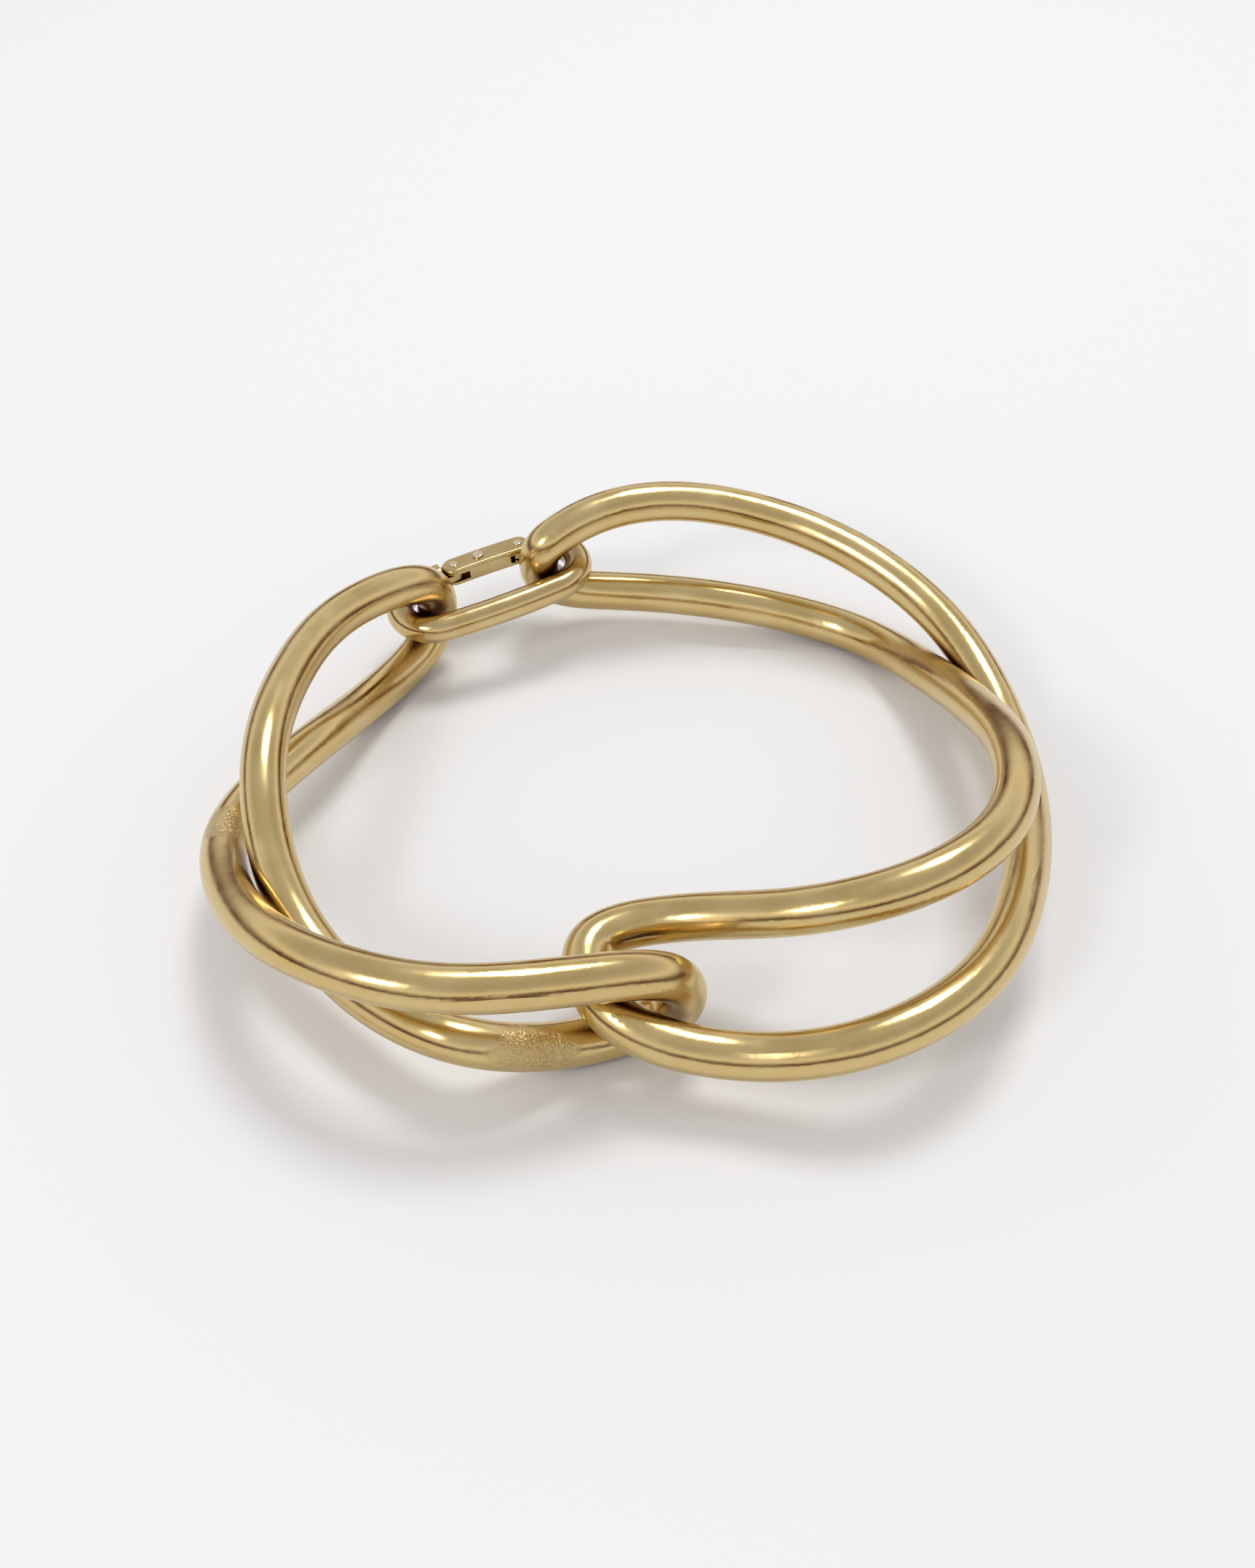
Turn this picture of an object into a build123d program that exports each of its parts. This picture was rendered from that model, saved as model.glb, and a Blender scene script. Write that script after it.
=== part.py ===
from build123d import *
import math
import os

os.makedirs("parts", exist_ok=True)

# A link bangle for the wrist: two long twisted loops of round rod, hooked through each other
# at the front and joined at the back by a small oval clasp whose far side swings open.
# All sizes are in millimetres. +X is to the wearer's right, +Y to the back, +Z up.
# The origin is the centre of the bangle's outline, on the surface that it lies on.

# ---- driving dimensions ----
rod_diameter = 3.7
rod_radius = rod_diameter / 2

# Centreline of the left loop: front hook, inner strand to the back, back bend, outer strand.
left_loop_route = [
    (2.1, -24.4, 3.2),
    (-4.8, -26.3, 2.4),
    (-12.2, -28.4, 5.2),
    (-20.5, -23.5, 4.9),
    (-27.2, -15.2, 7.2),
    (-29.6, -5.9, 11.9),
    (-28.6, 6.1, 12.5),
    (-23.9, 17.0, 11.3),
    (-18.3, 22.8, 7.4),
    (-18.7, 22.5, 4.1),
    (-23.0, 15.7, 2.1),
    (-27.9, 4.3, 5.2),
    (-32.8, -6.0, 6.0),
    (-31.3, -15.8, 8.2),
    (-24.8, -24.9, 11.4),
    (-15.7, -29.1, 12.3),
    (-3.7, -27.7, 11.3),
    (3.5, -25.0, 7.5),
]

# Centreline of the right loop: back bend, outer strand to the front, front bend, inner strand.
right_loop_route = [
    (-7.6, 26.5, 11.1),
    (-0.1, 29.4, 13.1),
    (10.8, 30.3, 11.8),
    (20.7, 26.3, 10.0),
    (28.7, 19.3, 7.0),
    (32.8, 9.2, 4.5),
    (32.9, -3.9, 5.2),
    (30.1, -16.2, 7.5),
    (24.7, -25.9, 8.3),
    (17.0, -30.2, 7.4),
    (6.3, -29.5, 5.2),
    (-2.4, -25.8, 6.7),
    (-3.2, -20.5, 7.1),
    (2.2, -18.7, 7.9),
    (12.1, -21.0, 11.3),
    (22.0, -20.3, 14.3),
    (28.2, -14.4, 14.2),
    (30.5, -4.5, 12.4),
    (29.5, 5.6, 8.5),
    (26.4, 16.7, 3.9),
    (21.2, 24.1, 2.0),
    (9.8, 27.2, 3.3),
    (-2.4, 28.4, 3.8),
    (-8.5, 27.0, 6.7),
]

# Clasp: an oval of thinner round rod, lying nearly level between the two back bends.
clasp_centre = (-13.4, 24.9, 7.0)
clasp_yaw = 24.5
clasp_rise = 5.8
clasp_rod_diameter = 2.6
clasp_length = 17.6
clasp_width = 7.5
clasp_end_radius = 3.55

# Positions along the clasp's far side, measured along its length from its middle.
hinge_x = 4.4
stud_x = 0.4
catch_x = -2.15
end_gap = 0.25
hinge_shoulder_turn = 14

# Gate, its two slots and the tongues of the frame that sit in them.
gate_width = 2.3
gate_height = 1.8
gate_edge_round = 0.35
slot_height = 0.8
tongue_height = 0.6
tongue_width = 2.0
hinge_slot_depth = 1.2
catch_tongue_reach = 0.85
catch_slot_spare = 0.35
catch_notch_clearance = 0.15

# Pins and stud.
pin_radius = 0.4
pin_proud = 0.1
pin_end_round = 0.08
press_clearance = 0.01
running_clearance = 0.05
stud_radius = 0.5
stud_depth = 0.5
stud_proud = 0.25
stud_round = 0.15

# ---- worked out from the driving dimensions ----
clasp_rod_radius = clasp_rod_diameter / 2
half_length = clasp_length / 2
half_width = clasp_width / 2
end_centre_x = half_length - clasp_end_radius

# The oval is four arcs that meet smoothly: two end arcs and two long side arcs.
side_radius = (clasp_end_radius**2 - half_width**2 - end_centre_x**2) / (
    2 * (clasp_end_radius - half_width)
)
side_centre_y = half_width - side_radius
side_turn = math.degrees(math.atan2(end_centre_x, -side_centre_y))


def side_y(x):
    """Height of the far side's centreline above the clasp's long axis."""
    return side_centre_y + math.sqrt(side_radius**2 - x**2)


def side_angle(x):
    """Angle of a far-side point around the side arc's centre."""
    return math.degrees(math.atan2(side_y(x) - side_centre_y, x))


yaw = math.radians(clasp_yaw)
rise = math.radians(clasp_rise)
clasp_plane = Plane(
    origin=clasp_centre,
    x_dir=(math.cos(rise) * math.cos(yaw), math.cos(rise) * math.sin(yaw), math.sin(rise)),
    z_dir=(-math.sin(rise) * math.cos(yaw), -math.sin(rise) * math.sin(yaw), math.cos(rise)),
)
hinge_point = (hinge_x, side_y(hinge_x))
catch_point = (catch_x, side_y(catch_x))
stud_point = (stud_x, side_y(stud_x))
catch_shoulder_x = catch_x - gate_width / 2 - end_gap
hinge_shoulder_x = end_centre_x + clasp_end_radius * math.sin(math.radians(hinge_shoulder_turn))


def loop_halves(points):
    """The smooth closed curve through the points, as two open halves."""
    with BuildLine() as route:
        Spline(*points, periodic=True)
    loop = route.edge()
    return [loop.trim(0, 0.5), loop.trim(0.5, 1)]


def far_side_slot(first_x, last_x, width):
    """A round-ended strip along the clasp's far side, added to the sketch being built."""
    with BuildLine(mode=Mode.PRIVATE) as spine:
        start = side_angle(first_x)
        CenterArc((0, side_centre_y), side_radius, start, side_angle(last_x) - start)
    SlotArc(spine.edge(), width)


# ---- the two long loops ----
left_halves = loop_halves(left_loop_route)
with BuildPart() as link_left:
    for half in left_halves:
        with BuildSketch(Plane(origin=half @ 0, z_dir=half % 0)):
            Circle(rod_radius)
        sweep(path=half)
link_left.part.label = "link_left"

right_halves = loop_halves(right_loop_route)
with BuildPart() as link_right:
    for half in right_halves:
        with BuildSketch(Plane(origin=half @ 0, z_dir=half % 0)):
            Circle(rod_radius)
        sweep(path=half)
link_right.part.label = "link_right"

# ---- clasp frame: the oval's near side, both ends and a flat tongue at each open end ----
with BuildLine(clasp_plane) as frame_route:
    CenterArc(
        (end_centre_x, 0),
        clasp_end_radius,
        90 - hinge_shoulder_turn,
        hinge_shoulder_turn + side_turn - 180,
    )
    CenterArc((0, -side_centre_y), side_radius, side_turn - 90, -2 * side_turn)
    CenterArc((-end_centre_x, 0), clasp_end_radius, -90 - side_turn, 2 * side_turn - 180)
    CenterArc(
        (0, side_centre_y),
        side_radius,
        90 + side_turn,
        side_angle(catch_shoulder_x) - 90 - side_turn,
    )
frame_path = frame_route.wire()

with BuildPart() as clasp_frame:
    with BuildSketch(Plane(origin=frame_path @ 0, z_dir=frame_path % 0)):
        Circle(clasp_rod_radius)
    sweep(path=frame_path)
    with BuildSketch(clasp_plane):
        far_side_slot(hinge_x, hinge_shoulder_x, tongue_width)
        far_side_slot(catch_x + catch_tongue_reach - tongue_width / 2, catch_shoulder_x, tongue_width)
    extrude(amount=tongue_height / 2, both=True)
    with BuildSketch(clasp_plane):
        with Locations(hinge_point):
            Circle(pin_radius + running_clearance)
        with Locations(catch_point):
            Circle(pin_radius + running_clearance)
            Rectangle(
                2 * (pin_radius + catch_notch_clearance),
                tongue_width,
                align=(Align.CENTER, Align.MIN),
            )
    extrude(amount=tongue_height, both=True, mode=Mode.SUBTRACT)
clasp_frame.part.label = "clasp_frame"

# ---- clasp gate: the far side, slotted at both ends, turning about the hinge pin ----
with BuildPart() as clasp_gate:
    with BuildSketch(clasp_plane):
        far_side_slot(hinge_x, catch_x, gate_width)
    extrude(amount=gate_height / 2, both=True)
    flat_faces = clasp_gate.faces().filter_by(GeomType.PLANE)
    fillet(flat_faces.edges(), gate_edge_round)
    with BuildSketch(clasp_plane):
        with Locations((hinge_x - hinge_slot_depth, hinge_point[1])):
            Rectangle(clasp_length, clasp_width, align=(Align.MIN, Align.CENTER))
        with Locations((catch_x + catch_tongue_reach + catch_slot_spare, catch_point[1])):
            Rectangle(clasp_length, clasp_width, align=(Align.MAX, Align.CENTER))
    extrude(amount=slot_height / 2, both=True, mode=Mode.SUBTRACT)
    with BuildSketch(clasp_plane):
        with Locations(hinge_point, catch_point):
            Circle(pin_radius + press_clearance)
    extrude(amount=gate_height, both=True, mode=Mode.SUBTRACT)
    with BuildSketch(clasp_plane.offset(gate_height / 2)):
        with Locations(stud_point):
            Circle(stud_radius + press_clearance)
    extrude(amount=-stud_depth, mode=Mode.SUBTRACT)
clasp_gate.part.label = "clasp_gate"


def build_pin(centre):
    """A round-ended pin through the gate at the given point of the clasp's plane."""
    with BuildPart() as pin:
        with BuildSketch(clasp_plane):
            with Locations(centre):
                Circle(pin_radius)
        extrude(amount=gate_height / 2 + pin_proud, both=True)
        fillet(pin.edges().filter_by(GeomType.CIRCLE), pin_end_round)
    return pin.part


# ---- hinge pin and catch pin ----
hinge_pin = build_pin(hinge_point)
hinge_pin.label = "hinge_pin"
catch_pin = build_pin(catch_point)
catch_pin.label = "catch_pin"

# ---- stud that a fingernail pushes to swing the gate ----
with BuildPart() as thumb_stud:
    with BuildSketch(clasp_plane.offset(gate_height / 2 - stud_depth)):
        with Locations(stud_point):
            Circle(stud_radius)
    extrude(amount=stud_depth + stud_proud)
    stud_top = thumb_stud.faces().sort_by(Axis(clasp_centre, clasp_plane.z_dir))[-1]
    fillet(stud_top.edges(), stud_round)
thumb_stud.part.label = "thumb_stud"

export_step(link_left.part, "parts/link_left.step")
export_step(link_right.part, "parts/link_right.step")
export_step(clasp_frame.part, "parts/clasp_frame.step")
export_step(clasp_gate.part, "parts/clasp_gate.step")
export_step(hinge_pin, "parts/hinge_pin.step")
export_step(catch_pin, "parts/catch_pin.step")
export_step(thumb_stud.part, "parts/thumb_stud.step")
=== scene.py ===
import math

import bpy
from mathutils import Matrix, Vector


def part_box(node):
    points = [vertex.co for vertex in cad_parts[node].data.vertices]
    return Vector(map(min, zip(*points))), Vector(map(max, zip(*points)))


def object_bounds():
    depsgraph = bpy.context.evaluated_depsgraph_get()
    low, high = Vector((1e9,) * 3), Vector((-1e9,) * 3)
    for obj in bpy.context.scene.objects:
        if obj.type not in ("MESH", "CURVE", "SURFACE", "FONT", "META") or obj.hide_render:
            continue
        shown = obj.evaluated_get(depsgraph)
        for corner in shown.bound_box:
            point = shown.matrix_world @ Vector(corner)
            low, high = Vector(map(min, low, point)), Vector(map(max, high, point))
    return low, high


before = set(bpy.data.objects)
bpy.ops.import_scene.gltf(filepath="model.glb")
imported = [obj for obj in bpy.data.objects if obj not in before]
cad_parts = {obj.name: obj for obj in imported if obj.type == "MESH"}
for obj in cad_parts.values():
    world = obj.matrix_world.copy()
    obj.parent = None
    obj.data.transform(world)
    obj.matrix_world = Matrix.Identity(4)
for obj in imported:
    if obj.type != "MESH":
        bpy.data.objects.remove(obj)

CAD_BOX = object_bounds()
MM = 0.001

LOW = Vector(CAD_BOX[0])
HIGH = Vector(CAD_BOX[1])
CENTRE = (LOW + HIGH) / 2


# ---------------------------------------------------------------- colours and nodes

# The sockets of a Mix node whose data are colours, which share their names with its other sockets.
MIX_COLOUR_A = 6
MIX_COLOUR_B = 7
MIX_COLOUR_RESULT = 2
# The two shader sockets of a Mix Shader node, which have one name.
SHADER_WHEN_ZERO = 1
SHADER_WHEN_ONE = 2


def linear(hex_code):
    """An sRGB hex value as the linear colour that the shaders take."""
    channels = []
    for k in (0, 2, 4):
        c = int(hex_code[k:k + 2], 16) / 255
        channels.append(c / 12.92 if c <= 0.04045 else ((c + 0.055) / 1.055) ** 2.4)
    return (*channels, 1.0)


def add_node(tree, kind, settings=None, values=None, links=None):
    """One node with its settings, its unlinked socket values and its incoming links."""
    node = tree.nodes.new(kind)
    for name, value in (settings or {}).items():
        setattr(node, name, value)
    for socket, value in (values or {}).items():
        node.inputs[socket].default_value = value
    for socket, source in (links or {}).items():
        tree.links.new(source, node.inputs[socket])
    return node


def ramp_stops(node, stops):
    """Sets a colour ramp's stops, each a place from 0 to 1 and a linear colour."""
    ramp = node.color_ramp
    while len(ramp.elements) < len(stops):
        ramp.elements.new(1.0)
    for element, (place, colour) in zip(ramp.elements, stops):
        element.position = place
        element.color = colour


# ---------------------------------------------------------------- gold plate

POLISHING_MARK_MM = 0.25
POLISHING_MARK_DEPTH_MM = 0.02
RIPPLE_MM = 3.0
RIPPLE_DEPTH_MM = 0.12
PIT_MM = 0.35
PIT_DEPTH_MM = 0.25
# Painted crevice shade: how far the ambient occlusion reaches, and the dark red-brown it lays into
# the colour.
PAINTED_SHADE_REACH_MM = 1.5
PAINTED_CREVICE_SHADE = "6B3F3A"


def gold_plate(name, gold, pale_gold, gloss_low, gloss_high, handling_mm=5.0, rough_spots=()):
    """Gold plate over polished brass: warm metal, a soft shine that changes from patch to patch
    where hands and a cloth have dulled it, polishing marks, and painted shade, a dark red-brown
    laid into the colour in the crevices where two surfaces nearly touch. Rough spots are (centre,
    radius) pairs, pitted by solder."""
    material = bpy.data.materials.new(name)
    material.use_nodes = True
    tree = material.node_tree
    tree.nodes.clear()
    place = add_node(tree, "ShaderNodeTexCoord").outputs["Object"]

    # Handled patches a few millimetres wide: the plate is a little paler and duller there.
    handling = add_node(
        tree, "ShaderNodeTexNoise",
        values={"Scale": 1 / (handling_mm * MM), "Detail": 3.0, "Roughness": 0.55},
        links={"Vector": place},
    ).outputs["Fac"]
    tint = add_node(tree, "ShaderNodeValToRGB", links={"Fac": handling})
    ramp_stops(tint, [(0.35, linear(gold)), (0.70, linear(pale_gold))])
    shine = add_node(
        tree, "ShaderNodeMapRange",
        values={"From Min": 0.3, "From Max": 0.7, "To Min": gloss_low, "To Max": gloss_high},
        links={"Value": handling},
    ).outputs["Result"]

    # Polishing marks are about 0.02 mm wide, and are drawn coarser so that they show at all.
    marks = add_node(
        tree, "ShaderNodeTexNoise",
        values={"Scale": 1 / (POLISHING_MARK_MM * MM), "Detail": 2.0, "Roughness": 0.6},
        links={"Vector": place},
    ).outputs["Fac"]
    # Slow ripples are left in the rod by bending and hand polishing.
    ripples = add_node(
        tree, "ShaderNodeTexNoise",
        values={"Scale": 1 / (RIPPLE_MM * MM), "Detail": 1.0, "Roughness": 0.4},
        links={"Vector": place},
    ).outputs["Fac"]
    fine = add_node(
        tree, "ShaderNodeBump",
        values={"Strength": 0.05, "Distance": POLISHING_MARK_DEPTH_MM * MM},
        links={"Height": marks},
    ).outputs["Normal"]
    surface = add_node(
        tree, "ShaderNodeBump",
        values={"Strength": 0.12, "Distance": RIPPLE_DEPTH_MM * MM},
        links={"Height": ripples, "Normal": fine},
    ).outputs["Normal"]

    # Pits lie only inside the rough spots, and fade out towards each spot's rim.
    pits = add_node(
        tree, "ShaderNodeTexNoise",
        values={"Scale": 1 / (PIT_MM * MM), "Detail": 3.0, "Roughness": 0.7},
        links={"Vector": place},
    ).outputs["Fac"]
    for centre, radius in rough_spots:
        away = add_node(
            tree, "ShaderNodeVectorMath", settings={"operation": "DISTANCE"},
            values={1: centre}, links={0: place},
        ).outputs["Value"]
        inside = add_node(
            tree, "ShaderNodeMapRange",
            values={"From Min": 0.35 * radius, "From Max": radius, "To Min": 1.0, "To Max": 0.0},
            links={"Value": away},
        ).outputs["Result"]
        surface = add_node(
            tree, "ShaderNodeBump",
            values={"Distance": PIT_DEPTH_MM * MM},
            links={"Strength": inside, "Height": pits, "Normal": surface},
        ).outputs["Normal"]

    # Painted shade: ambient occlusion darkens the colour towards a dark red-brown where two
    # surfaces nearly touch.
    open_air = add_node(
        tree, "ShaderNodeAmbientOcclusion",
        settings={"samples": 6},
        values={"Distance": PAINTED_SHADE_REACH_MM * MM},
    ).outputs["AO"]
    painted_shade_share = add_node(
        tree, "ShaderNodeMapRange",
        values={"From Min": 0.25, "From Max": 0.75, "To Min": 0.85, "To Max": 0.0},
        links={"Value": open_air},
    ).outputs["Result"]
    # Mixes the painted crevice shade into the gold colour.
    colour = add_node(
        tree, "ShaderNodeMix", settings={"data_type": "RGBA"},
        values={MIX_COLOUR_B: linear(PAINTED_CREVICE_SHADE)},
        links={"Factor": painted_shade_share, MIX_COLOUR_A: tint.outputs["Color"]},
    ).outputs[MIX_COLOUR_RESULT]

    shader = add_node(
        tree, "ShaderNodeBsdfPrincipled",
        values={"Metallic": 1.0},
        links={"Base Color": colour, "Roughness": shine, "Normal": surface},
    )
    add_node(tree, "ShaderNodeOutputMaterial", links={"Surface": shader.outputs["BSDF"]})
    return material


def spot_on(node, share, radius):
    """A rough spot at a share of the node's box along X, Y and Z, with a radius in millimetres."""
    low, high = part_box(node)
    return tuple(a + (b - a) * k for a, b, k in zip(low, high, share)), radius * MM


# Solder has pitted the left loop at its outer left bend and low at its front.
SEAM_SPOTS = [
    spot_on("link_left", (0.05, 0.41, 0.51), 2.6),
    spot_on("link_left", (0.65, 0.03, 0.28), 3.2),
    spot_on("link_left", (0.72, 0.05, 0.22), 2.2),
]

# Each finish is its gold, its paler handled gold, and its least and greatest roughness.
ROD_FINISH = ("D3B87C", "DBC48F", 0.15, 0.28)
CLASP_FINISH = ("CDB27A", "D6BF8E", 0.14, 0.26)
PIN_FINISH = ("E4D6B4", "EFE6CC", 0.10, 0.20)

ROD_GOLD = gold_plate("gold_plate_polished_rod", *ROD_FINISH)
SEAMED_ROD_GOLD = gold_plate("gold_plate_polished_seamed_rod", *ROD_FINISH, rough_spots=SEAM_SPOTS)
CLASP_GOLD = gold_plate("gold_plate_polished_clasp", *CLASP_FINISH, handling_mm=2.5)
PIN_GOLD = gold_plate("gold_plate_ground_pin_ends", *PIN_FINISH, handling_mm=0.8)

FINISH = {
    "link_left": SEAMED_ROD_GOLD,
    "link_right": ROD_GOLD,
    "clasp_frame": CLASP_GOLD,
    "clasp_gate": CLASP_GOLD,
    "hinge_pin": PIN_GOLD,
    "catch_pin": PIN_GOLD,
    "thumb_stud": PIN_GOLD,
}
for node_name, finish in FINISH.items():
    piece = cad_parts[node_name]
    piece.data.materials.clear()
    piece.data.materials.append(finish)


# ---------------------------------------------------------------- floor, light and camera

FLOOR_SIZE_M = 6.0
FLOOR_CLEARANCE_MM = 0.02
TENT_STRENGTH = 1.65
LENS_MM = 52.76
SENSOR_MM = 36.0
CAMERA_TILT = math.radians(42.99)
CAMERA_DISTANCE_MM = 151.4
AIM_OFFSET_MM = Vector((-0.6, -3.8, 0))


def plain_floor():
    """A wide pale matt floor just under the bangle."""
    bpy.ops.object.select_all(action="DESELECT")
    height = LOW.z - FLOOR_CLEARANCE_MM * MM
    bpy.ops.mesh.primitive_plane_add(size=FLOOR_SIZE_M, location=(0, 0, height))
    floor = bpy.context.object
    floor.name = "pale_floor"
    bpy.ops.object.transform_apply(location=True, rotation=True, scale=True)
    material = bpy.data.materials.new("pale_matt_board")
    material.use_nodes = True
    shader = material.node_tree.nodes["Principled BSDF"]
    shader.inputs["Base Color"].default_value = linear("F2F2F2")
    shader.inputs["Roughness"].default_value = 0.9
    shader.inputs["Specular IOR Level"].default_value = 0.1
    floor.data.materials.append(material)


def studio_surround():
    """A soft tent: a dark red-brown foot, a bright band above it and a neutral grey roof. The
    camera sees a plain pale wall in its place."""
    world = bpy.data.worlds.new("soft_studio")
    bpy.context.scene.world = world
    world.use_nodes = True
    tree = world.node_tree
    tree.nodes.clear()
    direction = add_node(tree, "ShaderNodeTexCoord").outputs["Generated"]
    height = add_node(tree, "ShaderNodeSeparateXYZ", links={"Vector": direction}).outputs["Z"]
    tent = add_node(tree, "ShaderNodeValToRGB", links={"Fac": height})
    # The stops run from the horizon, at 0, to straight up, at 1.
    ramp_stops(tent, [
        (0.00, linear("4A2620")),
        (0.13, linear("3A1818")),
        (0.22, linear("948A84")),
        (0.36, linear("D2D2D4")),
        (0.60, linear("A6A6A8")),
        (0.80, linear("9A9A9C")),
        (1.00, linear("A6A6A8")),
    ])
    tent_light = add_node(
        tree, "ShaderNodeBackground",
        values={"Strength": TENT_STRENGTH},
        links={"Color": tent.outputs["Color"]},
    )
    # The tent only lights the bangle and shows in its shine.
    pale_wall = add_node(
        tree, "ShaderNodeBackground",
        values={"Color": linear("E2E2E3"), "Strength": 1.0},
    )
    seen_directly = add_node(tree, "ShaderNodeLightPath").outputs["Is Camera Ray"]
    surround = add_node(
        tree, "ShaderNodeMixShader",
        links={
            "Fac": seen_directly,
            SHADER_WHEN_ZERO: tent_light.outputs["Background"],
            SHADER_WHEN_ONE: pale_wall.outputs["Background"],
        },
    ).outputs["Shader"]
    add_node(tree, "ShaderNodeOutputWorld", links={"Surface": surround})


def soft_light(name, azimuth, elevation, distance, side, power):
    """A square soft light aimed at the bangle. Azimuth 0 is behind it, 90 on its right."""
    data = bpy.data.lights.new(name, "AREA")
    data.shape = "RECTANGLE"
    data.size = side
    data.size_y = side
    data.energy = power
    lamp = bpy.data.objects.new(name, data)
    bpy.context.scene.collection.objects.link(lamp)
    a = math.radians(azimuth)
    e = math.radians(elevation)
    out = Vector((math.sin(a) * math.cos(e), math.cos(a) * math.cos(e), math.sin(e)))
    lamp.location = CENTRE + out * distance
    lamp.rotation_euler = (-out).to_track_quat("-Z", "Y").to_euler()


def set_camera():
    """Looks down at the bangle from the front, from close by, so that it fills the width."""
    data = bpy.data.cameras.new("front_camera")
    data.sensor_fit = "HORIZONTAL"
    data.sensor_width = SENSOR_MM
    data.lens = LENS_MM
    data.clip_start = 0.01
    camera = bpy.data.objects.new("front_camera", data)
    bpy.context.scene.collection.objects.link(camera)
    aim = CENTRE + AIM_OFFSET_MM * MM
    out = Vector((0, -math.cos(CAMERA_TILT), math.sin(CAMERA_TILT)))
    camera.location = aim + out * CAMERA_DISTANCE_MM * MM
    camera.rotation_euler = (math.pi / 2 - CAMERA_TILT, 0, 0)
    bpy.context.scene.camera = camera


plain_floor()
studio_surround()
soft_light("roof_softbox", azimuth=20, elevation=66, distance=0.7, side=0.22, power=1.6)
soft_light("front_left_softbox", azimuth=222, elevation=38, distance=0.6, side=0.12, power=0.6)
set_camera()
bpy.context.scene.view_settings.view_transform = "Standard"
